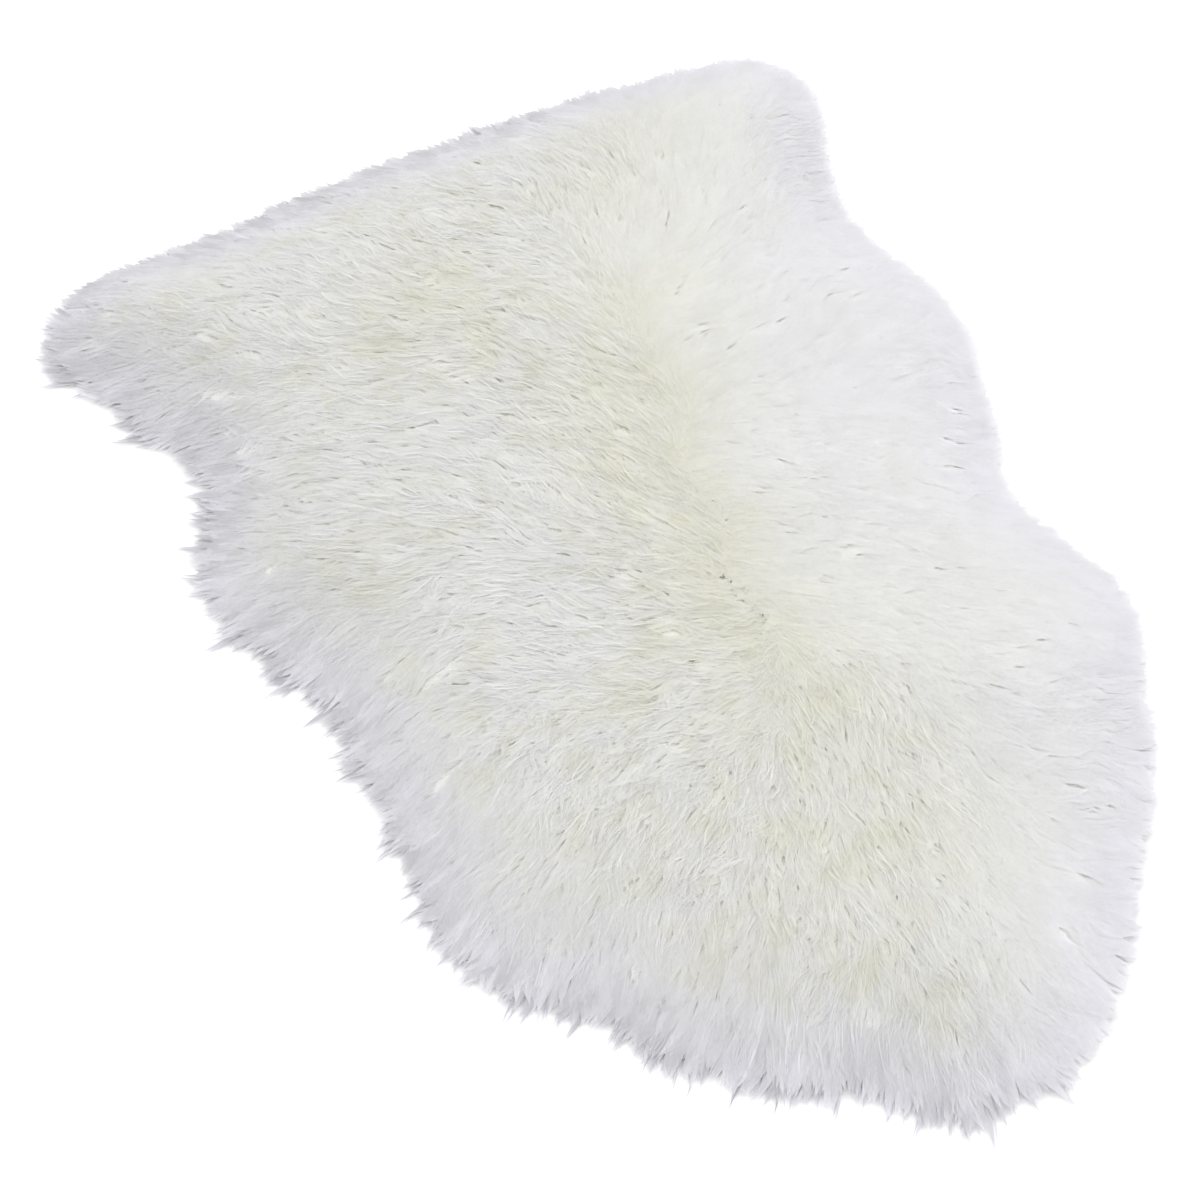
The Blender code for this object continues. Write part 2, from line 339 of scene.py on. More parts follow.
class Ground:
    """Everything that the wool follows: the rim, the slab's height and the lie of the wool."""

    # over how many cells the maps are averaged
    HEIGHT_SPREAD = 5.5
    SLOPE_SPREAD = 2.5
    OUTWARD_SPREAD = 3
    REACH_SPREAD = CALM_SPREAD = 6

    OUTSIDE = 0.04     # how far outside the line the solid's height is still read
    STEEPEST = 0.9     # slope that the wool's shading follows
    FLATTEST = 0.9     # that wool lies
    RIM_WIDTH = 0.070  # over which the rim's locks turn outwards
    RIM_PULL = 0.75    # and how much
    # The wool is calm where it lies to the right, towards the light: from this much on,
    # and wholly so over this much more.
    CALM_FROM, CALM_OVER = -0.10, 0.45
    NARROW_FROM, NARROW_OVER = -0.30, 0.08  # the narrow end, along Y
    WAVY_FROM, WAVY_OVER = 0.05, 0.15       # the wavier half, along Y

    def __init__(self):
        places, faces = solid_mesh()
        self.grid = grid = Grid()
        self.rim = Rim(places, faces)
        self.depth, nearest = self.rim.depth(grid.places)
        self.reach = smooth_grid(self.rim.reach[nearest], self.REACH_SPREAD)
        self.height = smooth_grid(self.solid_height(places, faces), self.HEIGHT_SPREAD)
        slope = np.stack(np.gradient(smooth_grid(self.height, self.SLOPE_SPREAD), grid.STEP), -1)
        self.slope = shorter_than(self.STEEPEST, slope)
        flow = flow_map(grid.places)
        outward = smooth_grid(self.rim.outward[nearest], self.OUTWARD_SPREAD)
        share = np.clip(1 - self.depth / self.RIM_WIDTH, 0, 1)[..., None]
        self.rim_flow = shorter_than(self.FLATTEST, flow + self.RIM_PULL * share * outward)
        calm = np.clip((flow[..., 0] - self.CALM_FROM) / self.CALM_OVER, 0, 1)
        self.calm = smooth_grid(calm, self.CALM_SPREAD)
        self.cream = cream_map(grid)
        y = grid.places[..., 1]
        self.narrow = np.clip((self.NARROW_FROM - y) / self.NARROW_OVER, 0, 1)
        self.wavy = np.clip((self.WAVY_FROM - y) / self.WAVY_OVER, 0, 1) * (1 - self.calm)

    def solid_height(self, places, faces):
        """The solid's height over the grid."""
        tree = BVHTree.FromPolygons(places.tolist(), faces.tolist())
        height = np.zeros(self.grid.shape)
        for i, j in np.argwhere(self.depth > -self.OUTSIDE):
            x, y = self.grid.places[i, j]
            hit = tree.ray_cast(Vector((x, y, 1.0)), Vector((0, 0, -1)))[0]
            height[i, j] = hit.z if hit else 0.0
        return height

    def at(self, name, places):
        return self.grid.read(getattr(self, name), places)


# ---- locks
PITCH = 0.0111      # between locks on the skin
RIM_PITCH = 0.0085  # between locks in a row round the rim
JITTER = 0.16       # how far locks stray, as a share of that
AXIS_STEPS = 13     # along a lock's middle line
AXIS_TURN, AXIS_CURL = math.radians(11), math.radians(16)
WISPS = 5  # in a lock
STRANDS = 3  # in a wisp; the first is its body, a wide ribbon
STATIONS = np.array((0.0, 0.30, 0.57, 0.81, 1.0))  # along a strand
TAPER = ((0, 0.25, 0.7, 1), (0.75, 1.0, 0.85, 0.0))  # along it, and its width there

# What locks are drawn from, over the rug, round its rim and at the rim's tips.
FIELD_LENGTH, FIELD_RADIUS, FIELD_CLUMP = (0.050, 0.072), (0.0058, 0.0085), (0.50, 0.85)
RIM_LENGTH, RIM_RADIUS, RIM_CLUMP = (0.040, 0.070), (0.0050, 0.0068), (0.70, 0.92)
TIP_LENGTH, TIP_RADIUS, TIP_CLUMP = (0.040, 0.075), (0.0048, 0.0062), (0.74, 0.93)
LAYER_SPREAD, RIM_LAYER_SPREAD, RIM_FLOOR_SPREAD = 0.012, (0.96, 1.04), (0.6, 1.6)
FIELD_FROM = (0.002, 0.55)  # inside the rim's line, in metres and shares of the reach
FIELD_FLOOR = 0.004
BED_SPLIT, RIM_SPLIT = -0.001, 0.6  # in bedded locks, and in the outermost row
TIP_SCATTER = 0.12

# How even the wool is.
LIT_CALM = 0.95       # how much calmer on the right, towards the light
MARGIN_CALM = 0.70    # how much calmer along the rim
NARROW_ROUGH = 0.35   # how much less of that at the narrow end
MARGIN_WIDTH = 0.060  # over which it fades

# Strands' widths.
THICK = 0.00042
RIM_THICK = 0.00072
INNER_THICK = 0.5 * (THICK + RIM_THICK)  # in the rim's inner rows
TIP_THICK = 1.35 * RIM_THICK
BODY_THICK, BED_THICK = 0.0018, 0.0054  # bodies': low at the rim, and in bedded locks
BODY_LAYERS = (0.76, 0.90)              # the layers of locks with those two
GUARD_SHARE = 0.07                      # of the strands are guard hairs, thicker, and painted brighter as highlights

# How strands lie, in shares of a length or width; of a pair, the second comes in with
# split locks or with calm wool.
WISP_SHORT = (0.20, 0.12)    # how much shorter wisps are
STRAND_SHORT = (0.10, 0.07)  # how much shorter strands are
STRAND_START = 0.34          # where bedded strands start; their roots would be hidden
BED_START = (0.38, 0.16)     # where their bodies start
LAID = (0.35, 0.65)          # flatness of the wool over which that sets in
BODY_PLACE = 0.3             # how near a wisp's middle its body lies
BED_CLUMP, STRAY_CLUMP = 0.1, 0.3
STRAY_SHARE = 0.05     # of the strands stray
GATHER = (0.85, 0.10)  # how far a wisp's strands gather
FINE = (0.30, 0.50)    # a wisp's width
CURL = 0.0030          # how far wisps and strands bend aside, in metres
BEND = (0.25, 1.6)     # shares of it for plain and for stray strands

# Heights, in metres.
BED_DROP = 0.0007  # how far under the surface bedded bodies lie
BODY_DROP = 0.0004  # how far under their wisps other bodies lie
ROOT_DROP = 0.0022  # how far under the surface strands leave the underwool
CALM_RISE = 0.0010  # how much less in calm wool
ROOT_DIVE, BED_DIVE = 0.0040, 0.0022  # how much deeper first ends are, and bedded bodies'
CROWN = 0.0008  # how much higher a lock's middle is
STRAY_LIFT = 0.005  # how high strays rise
RAISED = 0.0024  # how high bedded locks' tips rise
WAVY_RAISED = 0.9  # how much more in wavy wool
ROOT_FLOOR = 0.0030  # the lowest that roots lie
FLOOR_GAP = 0.0006  # the lowest that anything lies

# How wisps wave.
WAVE = (0.0009, 0.0024)
WAVY_MORE = 0.8     # how much further in wavy wool
WAVE_RISE = 0.15    # the share of it up and down
TURNS = (0.6, 1.2)  # along a lock

BROAD_SHARE = 0.90  # how far a strand's shading follows the rug's own surface
LOCK_TWIST, STRAND_TWIST = math.radians(10), math.radians(18)
MOST_TWIST = 1.2
BODY_TWIST = 0.2  # the share of it that bodies have

# A strand's cell in the flat layout: how tall it is for its width, at least, where the
# ribbon's sides are, and where its foot is.
CELL_TALL, CELL_ACROSS, CELL_FOOT = 3, (0.06, 0.94), 0.03


def jittered_net(low, high, pitch, jitter):
    """A six-sided net of places, each moved a little."""
    row = pitch * math.sqrt(0.75)
    counts = np.ceil((high - low) / (pitch, row)).astype(int)
    i, j = np.meshgrid(np.arange(counts[0]), np.arange(counts[1]), indexing="ij")
    places = np.stack(((i + 0.5 * (j % 2)) * pitch, j * row), -1).reshape(-1, 2) + low
    return places + rng.normal(0, jitter * pitch, places.shape)


def lit_uneven(ground, places):
    """How uneven the wool is, from 1 on the left to nearly 0 on the right."""
    return 1 - LIT_CALM * ground.at("calm", places)


def uneven(ground, places):
    """The same, less along the rim."""
    margin = np.clip(1.3 - ground.at("depth", places) / MARGIN_WIDTH, 0, 1)
    smoothed = MARGIN_CALM - NARROW_ROUGH * ground.at("narrow", places)
    return lit_uneven(ground, places) * (1 - smoothed * margin)


# Locks are a table of arrays: tip, the floor under it; length; layer, the height as a
# share of the surface's; radius at the root; clump, how far the wisps gather; split, how
# far they part; bedded, whether the bodies lie flat and cover the underwool; scatter, how
# far strands bend aside; thick, their width; floor, the lowest that they lie.
def field_locks(ground):
    """The locks that cover the rug."""
    low, high = (np.array(corner[:2]) for corner in cad_box)
    tips = jittered_net(low, high, PITCH, JITTER)
    depth = ground.at("depth", tips)
    reach = ground.at("reach", tips)
    tips = tips[depth > FIELD_FROM[0] + FIELD_FROM[1] * reach]
    count = len(tips)
    return dict(
        tip=tips,
        length=rng.uniform(*FIELD_LENGTH, count),
        layer=1.0 - rng.uniform(-LAYER_SPREAD, LAYER_SPREAD, count) * uneven(ground, tips),
        radius=rng.uniform(*FIELD_RADIUS, count),
        clump=rng.uniform(*FIELD_CLUMP, count) * lit_uneven(ground, tips),
        split=np.full(count, BED_SPLIT),
        bedded=np.ones(count, bool),
        scatter=np.ones(count),
        thick=np.full(count, THICK),
        floor=np.full(count, FIELD_FLOOR),
    )


# The rim's two lowest rows: a lock at each tip of the solid, and one between each two.
TIP_ROWS = (
    # place between tips, reach from, reach to, layer, floor
    (0.0, 1.04, 1.16, 0.66, 0.0012),
    (0.5, 0.62, 0.95, 0.76, 0.0018),
)
# The rows above them, outermost first.
RIM_ROWS = (
    # reach, spread, layer, floor, bedded, scatter, thick
    (0.55, 0.22, 0.82, 0.0020, False, 0.15, RIM_THICK),
    (0.30, 0.22, 0.90, 0.0030, True, 0.15, RIM_THICK),
    (0.02, 0.22, 0.98, 0.0040, True, 0.50, INNER_THICK),
    (-0.28, 0.20, 1.00, 0.0040, True, 0.50, INNER_THICK),
)
NOTCH = 0.45  # how much shorter the locks at the notches are, in the outermost row


def rim_locks(ground):
    """Rows of locks round the rim, from the lowest."""
    rim = ground.rim
    rows = tip_rows(rim)
    count = int(rim.length / RIM_PITCH)
    group = np.interp(np.arange(count), *group_steps(count), period=count)
    for row, (out, spread, layer, floor, bedded, scatter, thick) in enumerate(RIM_ROWS):
        strayed = rng.normal(0, JITTER, count)
        place = (np.arange(count) + 0.5 * (row % 2) + strayed) / count * rim.COUNT
        low = np.floor(place).astype(int)
        part = (place - low)[:, None]
        line = rim.line[low % rim.COUNT] * (1 - part) + rim.line[(low + 1) % rim.COUNT] * part
        outward = rim.outward[low % rim.COUNT]
        reach = rim.reach[low % rim.COUNT]
        notch = 0 if bedded else NOTCH * group
        stand = reach * (out + spread * rng.uniform(-1, 1, count) - notch)
        calm = ground.at("calm", line)
        loose = (0.55 + 0.40 * ground.at("narrow", line)) * (1 - 0.65 * calm)
        rows.append(dict(
            tip=line + outward * stand[:, None],
            length=np.clip(1.2 * reach + 0.030, *RIM_LENGTH) * rng.uniform(0.88, 1.12, count),
            layer=layer * rng.uniform(*RIM_LAYER_SPREAD, count),
            radius=rng.uniform(*RIM_RADIUS, count),
            clump=rng.uniform(*RIM_CLUMP, count) * (loose if bedded else 1 - 0.35 * calm),
            split=np.full(count, BED_SPLIT if bedded else RIM_SPLIT),
            bedded=np.full(count, bedded),
            scatter=np.full(count, scatter),
            thick=np.full(count, thick),
            floor=floor * rng.uniform(*RIM_FLOOR_SPREAD, count),
        ))
    return {key: np.concatenate([row[key] for row in rows]) for key in rows[0]}


def tip_rows(rim):
    """The two lowest rows, whose tips draw the outline."""
    at = rim.tip_at
    count = len(at)
    reach = rim.reach[at]
    stand = ((rim.tips - rim.line[at]) * rim.outward[at]).sum(1)
    length = np.clip(1.2 * reach + 0.6 * np.abs(stand) + 0.020, *TIP_LENGTH)
    rows = []
    for between, reach_low, reach_high, layer, floor in TIP_ROWS:
        tip = rim.tips * (1 - between) + np.roll(rim.tips, -1, 0) * between
        base = rim.line[at] * (1 - between) + rim.line[np.roll(at, -1)] * between
        rows.append(dict(
            tip=base + (tip - base) * rng.uniform(reach_low, reach_high, (count, 1)),
            length=length * rng.uniform(0.92, 1.08, count),
            layer=layer * rng.uniform(*RIM_LAYER_SPREAD, count),
            radius=rng.uniform(*TIP_RADIUS, count),
            clump=rng.uniform(*TIP_CLUMP, count),
            split=np.ones(count),
            bedded=np.zeros(count, bool),
            scatter=np.full(count, TIP_SCATTER),
            thick=np.full(count, TIP_THICK),
            floor=floor * rng.uniform(*RIM_FLOOR_SPREAD, count),
        ))
    return rows


def group_steps(count):
    """Rim locks stand in groups of three to five, with a deeper notch after each group."""
    depths = []
    while len(depths) < count - 3:
        depths += [0.0] * (int(rng.integers(3, 6)) - 1)
        depths.append(rng.uniform(0.5, 1.0))
    return range(len(depths)), depths


def turned(vectors, angles):
    """Flat vectors turned anticlockwise by these angles."""
    c, s = np.cos(angles), np.sin(angles)
    return np.stack((vectors[..., 0] * c - vectors[..., 1] * s,
                     vectors[..., 0] * s + vectors[..., 1] * c), -1)


def unit(vectors, least=1e-6):
    """Vectors made 1 long."""
    return vectors / np.maximum(np.linalg.norm(vectors, axis=-1, keepdims=True), least)


def lock_axes(ground, locks):
    """Each lock's middle line on the floor, root first, traced from its tip against the wool's lie."""
    count = len(locks["tip"])
    here = locks["tip"].copy()
    share = 0.5 + 0.5 * locks["scatter"]
    turn = rng.normal(0, AXIS_TURN, count) * share
    curl = rng.normal(0, AXIS_CURL, count) * share
    path = [here]
    for k in range(AXIS_STEPS):
        along = 1 - k / AXIS_STEPS
        lie = turned(ground.at("rim_flow", here), turn + curl * along ** 2)
        here = here - lie * (locks["length"] / AXIS_STEPS)[:, None]
        path.append(here)
    return np.stack(path[::-1], 1)


def along_axes(axes, lock, share):
    """Places and headings on the axes of these locks, at these shares of their length."""
    at = np.clip(share, 0, 1) * AXIS_STEPS
    low = np.clip(at.astype(int), 0, AXIS_STEPS - 1)
    part = (at - low)[..., None]
    first = axes[lock[:, None], low]
    second = axes[lock[:, None], low + 1]
    return first * (1 - part) + second * part, unit(second - first, 1e-5)


def in_disc(count):
    """Random places in a disc of radius 1."""
    angle = rng.uniform(0, 2 * math.pi, count)
    return np.stack((np.cos(angle), np.sin(angle)), 1) * np.sqrt(rng.uniform(0, 1, count))[:, None]


class Wisps:
    """The locks' wisps: where each stands in its lock, how long it is and how it waves."""

    def __init__(self, ground, locks):
        count = len(locks["tip"])
        self.lock = lock = np.repeat(np.arange(count), WISPS)
        wisps = len(lock)
        self.place = in_disc(wisps)
        self.split = locks["split"][lock]
        self.end = 1 - rng.uniform(0, 1, wisps) * (WISP_SHORT[0] + WISP_SHORT[1] * self.split)
        self.rough = uneven(ground, locks["tip"])[lock]
        self.layer = 1 + rng.uniform(-0.006, 0.005, wisps) * self.rough
        self.phase = rng.uniform(0, 1, count)[lock] + rng.normal(0, 0.05, wisps)
        swing = rng.uniform(*WAVE, count) * (1 + WAVY_MORE * ground.at("wavy", locks["tip"]))
        self.wave = swing[lock] * rng.uniform(0.7, 1.2, wisps) * self.rough
        self.turns = rng.uniform(*TURNS, count)[lock]
        self.curl = rng.normal(0, CURL, (wisps, 2))


class Wool:
    """All strands: their middles at each station, the ribbons' sides there, and their looks."""

    def __init__(self, ground, locks):
        self.ground, self.locks = ground, locks
        axes = lock_axes(ground, locks)
        self.wisps = wisps = Wisps(ground, locks)
        self.wisp = wisp = np.repeat(np.arange(len(wisps.lock)), STRANDS)
        self.lock = lock = wisps.lock[wisp]
        self.count = count = len(wisp)
        self.rough = wisps.rough[wisp]
        self.calm = 1 - lit_uneven(ground, locks["tip"])[lock]
        place = in_disc(count)
        shorter = STRAND_SHORT[0] - STRAND_SHORT[1] * wisps.split[wisp]
        end = wisps.end[wisp] * (1 - rng.uniform(0, 1, count) * shorter)
        self.body = np.arange(count) % STRANDS == 0
        bedded = locks["bedded"][lock]
        self.bed = self.body & bedded
        place[self.body] *= BODY_PLACE
        self.stray = (rng.uniform(0, 1, count) < STRAY_SHARE) & ~self.body
        end = np.where(self.bed, 1.0, end)
        lie = np.linalg.norm(ground.at("rim_flow", axes[:, 0]), axis=1)[lock]
        laid = np.clip((lie - LAID[0]) / (LAID[1] - LAID[0]), 0, 1)
        start = np.where(self.bed, BED_START[0] - BED_START[1] * self.calm, STRAND_START)
        start = np.where(bedded, start, 0.0) * laid
        self.dive = np.where(bedded, laid, 1.0)
        self.s = start[:, None] + STATIONS[None] * (end - start)[:, None]
        flat = self.spread(axes, place)
        self.centre = np.concatenate((flat, self.heights(flat)[..., None]), -1)
        self.face(flat)
        self.widen()
        self.dress(flat)

    def spread(self, axes, place):
        """The strands' middles over the floor."""
        locks, wisps, wisp, s = self.locks, self.wisps, self.wisp, self.s
        split, calm, stray = wisps.split[wisp][:, None], self.calm[:, None], self.stray[:, None]
        centre, heading = along_axes(axes, self.lock, s)
        side = np.stack((-heading[..., 1], heading[..., 0]), -1)
        radius = locks["radius"][self.lock][:, None]
        clump = locks["clump"][self.lock][:, None]
        clump = np.where(stray, STRAY_CLUMP * clump, clump)
        clump = np.where(self.bed[:, None], BED_CLUMP, clump)
        wide = radius * (1 - clump * s ** 1.6)
        gather = np.where(stray, 0.0, GATHER[0] + GATHER[1] * split) * (1 - calm)
        fine = (FINE[0] + FINE[1] * calm) * radius * (1 - gather * s ** 1.4)
        offset = wisps.place[wisp][:, None] * wide[..., None] + place[:, None] * fine[..., None]
        self.wave = wisps.wave[wisp][:, None] * np.minimum(2 * s, 1)
        turns = wisps.turns[wisp][:, None] * s + wisps.phase[wisp][:, None]
        self.phase = 2 * math.pi * turns
        flat = centre + offset + side * (self.wave * np.sin(self.phase))[..., None]
        bend = locks["scatter"][self.lock][:, None, None] * (s ** 3)[..., None]
        flat += bend * wisps.curl[wisp][:, None]
        loose = np.where(self.stray, BEND[1], BEND[0])[:, None, None]
        flat += bend * rng.normal(0, CURL, (self.count, 1, 2)) * loose
        return flat

    def heights(self, flat):
        """The strands' heights over these places."""
        locks, lock, wisps, wisp, s = self.locks, self.lock, self.wisps, self.wisp, self.s
        rough, bed = self.rough[:, None], self.bed[:, None]
        surface = self.ground.at("height", flat)
        layer = np.where(bed, 1.0, (locks["layer"][lock] * wisps.layer[wisp])[:, None])
        crown = CROWN * rough * (1 - (wisps.place[wisp] ** 2).sum(1))[:, None] * s
        sunk = (ROOT_DROP - CALM_RISE * (1 - rough)) * (1 - s) ** 2.2 * self.dive[:, None]
        sunk += np.where(bed, BED_DROP, 0.0)
        height = surface * layer - sunk * np.minimum(surface / 0.012, 1)
        height += np.where(bed, 0.0, crown) + WAVE_RISE * self.wave * np.cos(self.phase)
        lift = np.where(self.stray, rng.uniform(0, STRAY_LIFT, self.count), 0)[:, None] * rough
        wavy = self.ground.at("wavy", locks["tip"])
        raised = rng.uniform(0, RAISED, len(wavy)) * (1 + WAVY_RAISED * wavy) * locks["bedded"]
        raised = raised[lock][:, None] * rough * ~bed
        height += (lift * s ** 2 + raised * s ** 4) * np.minimum(surface / 0.02, 1)
        floor = locks["floor"][lock][:, None] * rng.uniform(0.7, 1.3, (self.count, 1)) + 0.0004
        height -= np.where(self.body & ~self.bed, BODY_DROP, 0.0)[:, None]
        height[:, 0] -= np.where(self.bed, BED_DIVE, ROOT_DIVE) * self.dive
        return np.maximum(height, ROOT_FLOOR + (floor - ROOT_FLOOR) * s)

    def face(self, flat):
        """The ribbons' sides, and the normals that shade them."""
        rough = self.rough[:, None, None]
        tangent = unit(np.gradient(self.centre, axis=1))
        level = unit(np.cross((0.0, 0.0, 1.0), tangent))
        up = np.cross(tangent, level)
        twist = rng.normal(0, LOCK_TWIST, len(self.locks["tip"]))[self.lock]
        twist += rng.normal(0, STRAND_TWIST, self.count)
        twist = np.clip(twist, -MOST_TWIST, MOST_TWIST)[:, None, None] * rough
        twist = np.where(self.body[:, None, None], BODY_TWIST * twist, twist)
        self.side = level * np.cos(twist) + up * np.sin(twist)
        slope = self.ground.at("slope", flat)
        broad = unit(np.concatenate((-slope, np.ones(self.s.shape + (1,))), -1))
        share = (1 - BROAD_SHARE) * rough
        self.normal = unit((1 - share) * broad + share * np.cross(tangent, self.side))

    def widen(self):
        """Half the ribbons' widths at each station."""
        rough = self.rough
        self.guard = (rng.uniform(0, 1, self.count) < GUARD_SHARE) & ~self.body
        thick = rng.uniform(0.8, 1.2, self.count) * self.locks["thick"][self.lock]
        thick *= np.where(self.guard, 1 + 0.9 * rough, 0.75 + 0.25 * rough) * (0.65 + 0.35 * rough)
        wide = np.interp(self.locks["layer"][self.lock], BODY_LAYERS, (BODY_THICK, BED_THICK))
        wide *= (1 + 0.25 * self.calm) * rng.uniform(0.75, 1.25, self.count)
        thick = np.where(self.body, wide, thick)
        self.half = 0.5 * thick[:, None] * np.interp(STATIONS, *TAPER)

    def dress(self, flat):
        """The values that the material reads."""
        def each(values):
            return np.broadcast_to(values[:, None], self.s.shape)

        # a random tone for each strand, and the top one for guard hairs, as a painted highlight
        tone_and_highlight = np.where(self.guard, 1.0, rng.uniform(0, 0.6, self.count))
        tuft = rng.uniform(0, 1, len(self.locks["tip"]))[self.lock]
        self.looks = dict(along=self.s, tone_and_highlight=each(tone_and_highlight), tuft=each(tuft),
                          fleece=each(self.bed.astype(float)),
                          **shared_looks(self.ground, flat))

    def mesh(self, name, chosen):
        """One piece: these strands as tapered ribbons, each in its own cell of the flat layout."""
        side = self.side[chosen] * self.half[chosen][..., None]
        count, stations = side.shape[:2]
        each = 2 * stations - 1
        places = both_sides(self.centre[chosen])
        places[:, 0:-1:2] += side[:, :-1]
        places[:, 1:-1:2] -= side[:, :-1]
        places[..., 2] = np.maximum(places[..., 2], FLOOR_GAP)
        quads = [k + 2 * row for row in range(stations - 2) for k in (0, 1, 3, 2)]
        corners = np.array(quads + [each - 3, each - 2, each - 1])
        strand = np.arange(count)[:, None]
        loops = (strand * each + corners).ravel()
        starts = (strand * len(corners) + np.arange(0, len(corners), 4)).ravel()
        mesh = bpy.data.meshes.new(name)
        mesh.vertices.add(count * each)
        mesh.vertices.foreach_set("co", places.ravel())
        mesh.loops.add(len(loops))
        mesh.loops.foreach_set("vertex_index", loops)
        mesh.polygons.add(len(starts))
        mesh.polygons.foreach_set("loop_start", starts)
        mesh.polygons.foreach_set("use_smooth", np.ones(len(starts), bool))
        for key, values in self.looks.items():
            add_values(mesh, key, both_sides(values[chosen]).ravel())
        normals = mesh.attributes.new("custom_normal", "FLOAT_VECTOR", "POINT")
        normals.data.foreach_set("vector", both_sides(self.normal[chosen]).ravel())
        flat = strand_cells(count).reshape(-1, 2)[loops]
        mesh.uv_layers.new(name="OFBake").data.foreach_set("uv", flat.ravel())
        mesh.update()
        mesh.validate()
        return new_object(name, mesh)


def add_values(mesh, key, values):
    mesh.attributes.new(key, "FLOAT", "POINT").data.foreach_set("value", values)


def both_sides(values):
    """Values at the stations, given to both corners of the ribbon there and to its one tip."""
    return np.repeat(values, 2, axis=1)[:, :-1]


def strand_cells(count):
    """The strands' corners in the flat layout, a cell for each strand."""
    columns = 2 ** math.ceil(math.log2(math.sqrt(CELL_TALL * count)))
    rows = math.ceil(count / columns)
    cell = np.arange(count)[:, None]
    across = np.append(np.tile(CELL_ACROSS, len(STATIONS) - 1), 0.5)
    upward = np.repeat(STATIONS, 2)[:-1]
    u = (cell % columns + across) / columns
    v = (cell // columns + CELL_FOOT + (1 - 2 * CELL_FOOT) * upward) / rows
    return np.stack((u, v), -1)


# ---- skin and underwool
def shared_looks(ground, places):
    """The values that the wool's and the underwool's materials read; rim is 1 at its tips."""
    depth, reach = ground.at("depth", places), ground.at("reach", places)
    return dict(rim=np.clip(1 - (depth + 0.5 * reach) / RIM_SHADING, 0, 1),
                cream=ground.at("cream", places), calm=ground.at("calm", places))


# The closed layers' faces.
LAYER_JITTER = 0.10   # how far their inner corners stray, as a share of the pitch
LAYER_EDGE_GAP = 0.6  # how near those come to the outline, as another
RIM_SHADING = 0.10    # over which the rim's colours fade inwards


def closed_layer(name, outline, pitch, top, bottom, looks=None):
    """A closed layer inside an outline, with its faces at these heights and these looks."""
    low, high = outline.min(0), outline.max(0)
    inner = jittered_net(low, high, pitch, LAYER_JITTER)
    edges = [(k, (k + 1) % len(outline)) for k in range(len(outline))]
    kept = is_inside(outline, inner) & (edge_gap(outline, inner) > LAYER_EDGE_GAP * pitch)
    spots = [Vector(place) for place in np.vstack((outline, inner[kept]))]
    made, _, triangles, sources = delaunay_2d_cdt(spots, edges, [], 1, 1e-7)[:4]
    flat = np.array([place[:2] for place in made])
    faces = [tuple(face) for face in triangles]
    count = len(flat)
    rim = np.array([bool(source) and min(source) < len(outline) for source in sources])
    places = np.vstack((np.column_stack((flat, top(flat, rim))),
                        np.column_stack((flat, bottom(flat, rim)))))
    known = {(face[k], face[(k + 1) % len(face)]) for face in faces for k in range(len(face))}
    walls = [(b, a, a + count, b + count) for a, b in known if (b, a) not in known]
    under = [tuple(k + count for k in reversed(face)) for face in faces]
    mesh = bpy.data.meshes.new(name)
    mesh.from_pydata(places.tolist(), [], faces + under + sorted(walls))
    mesh.polygons.foreach_set("use_smooth", np.ones(len(mesh.polygons), bool))
    if looks:
        for key, values in looks(ground, np.vstack((flat, flat))).items():
            add_values(mesh, key, values)
    mesh.update()
    return new_object(name, mesh)


def is_inside(outline, places):
    """Whether each place lies inside the outline."""
    inside = np.zeros(len(places), bool)
    for a, b in zip(outline, np.roll(outline, -1, 0)):
        crosses = (a[1] > places[:, 1]) != (b[1] > places[:, 1])
        rise = b[1] - a[1] if b[1] != a[1] else 1e-12
        inside ^= crosses & (places[:, 0] < (b[0] - a[0]) * (places[:, 1] - a[1]) / rise + a[0])
    return inside


def edge_gap(outline, places):
    """How far each place is from the outline's nearest corner."""
    return np.concatenate([np.linalg.norm(part[:, None] - outline[None], axis=2).min(1)
                           for part in np.array_split(places, 1 + len(places) // 4096)])


